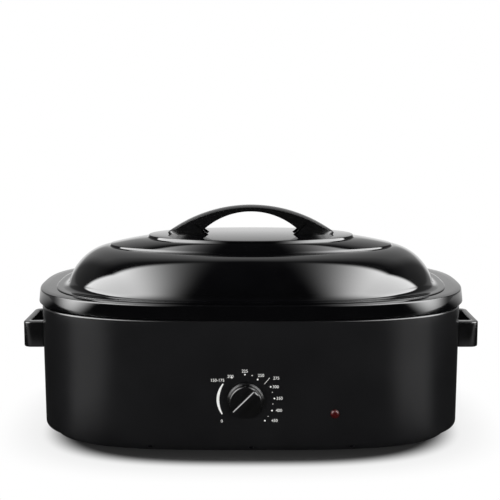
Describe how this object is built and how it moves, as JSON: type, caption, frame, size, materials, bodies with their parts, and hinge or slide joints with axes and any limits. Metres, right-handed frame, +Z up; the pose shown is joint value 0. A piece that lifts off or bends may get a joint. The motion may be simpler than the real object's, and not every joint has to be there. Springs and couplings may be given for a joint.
{
  "type": "electric roaster oven",
  "caption": "Countertop electric roaster oven with a heated well, lift-out enamelled pan, wire rack, lift-off domed lid, turning heat dial, indicator light and side carry handles.",
  "frame": {"origin": "on the table under the middle of the body, at the bottom of the rubber feet", "axes": "+X to the right seen from the front, +Y towards the back, +Z up; the control dial faces -Y"},
  "size_m": [0.583, 0.379, 0.2816],
  "materials": {
    "body_paint": "satin black high-temperature paint on steel sheet",
    "black_enamel": "gloss black porcelain enamel on steel",
    "well_steel": "aluminised steel sheet, dull",
    "band_steel": "steel-clad mica heating band",
    "glass_fibre": "needled glass fibre blanket",
    "shield_steel": "bright aluminium sheet",
    "zinc_steel": "zinc-plated steel",
    "foot_rubber": "moulded rubber",
    "phenolic": "moulded black phenolic, satin",
    "steatite": "glazed steatite ceramic",
    "lens_red": "dark red translucent lens",
    "lamp_glass": "clear neon lamp glass",
    "gland_nylon": "black nylon",
    "terminal_brass": "brass",
    "wire_black": "black sleeved wire",
    "wire_red": "red sleeved wire",
    "wire_white": "white sleeved wire",
    "wire_green": "green sleeved wire",
    "chrome_wire": "bright chrome-plated steel wire"
  },
  "bodies": {
    "base": {"outer_shell": "body_paint", "inner_well": "well_steel", "heating_band": "band_steel", "band_terminals": "steatite", "insulation_blanket": "glass_fibre", "base_pan": "body_paint", "heat_shield": "shield_steel", "shield_posts": "zinc_steel", "shield_screws": "zinc_steel", "rubber_feet": "foot_rubber", "foot_screws": "zinc_steel", "base_screws": "zinc_steel", "base_brackets": "zinc_steel", "left_side_handle": "phenolic", "right_side_handle": "phenolic", "side_handle_screws": "zinc_steel", "side_handle_washers": "zinc_steel", "thermostat_plate": "zinc_steel", "thermostat_body": "steatite", "thermostat_screws": "zinc_steel", "indicator_lens": "lens_red", "indicator_lamp": "lamp_glass", "lamp_push_nut": "zinc_steel", "cord_gland": "gland_nylon", "gland_nut": "gland_nylon", "terminal_block": "steatite", "terminal_screws": "terminal_brass", "earth_screw": "terminal_brass", "thermal_fuse": "steatite", "live_wire": "wire_black", "load_wire": "wire_red", "neutral_wire": "wire_white", "earth_wire": "wire_green", "lamp_wire": "wire_white"},
    "pan": {"roasting_pan": "black_enamel"},
    "rack": {"roasting_rack": "chrome_wire", "rack_lifting_loops": "chrome_wire"},
    "lid": {"lid_shell": "black_enamel", "lid_handle": "phenolic", "lid_handle_screws": "zinc_steel", "lid_handle_washers": "zinc_steel"},
    "knob": {"thermostat_shaft": "zinc_steel", "control_knob": "phenolic", "knob_spring_clip": "zinc_steel"}
  },
  "joints": [
    {"name": "pan_lift", "type": "slide", "parent": "base", "child": "pan", "axis": [0, 0, 1], "range_m": [0, 0.2]},
    {"name": "rack_lift", "type": "slide", "parent": "pan", "child": "rack", "axis": [0, 0, 1], "range_m": [0, 0.18]},
    {"name": "lid_lift", "type": "slide", "parent": "rack", "child": "lid", "axis": [0, 0, 1], "range_m": [0, 0.15]},
    {"name": "dial_turn", "type": "hinge", "parent": "base", "child": "knob", "pos_m": [-0.006, -0.172, 0.0695], "axis": [0, 1, 0], "range_deg": [0, 270]}
  ]
}
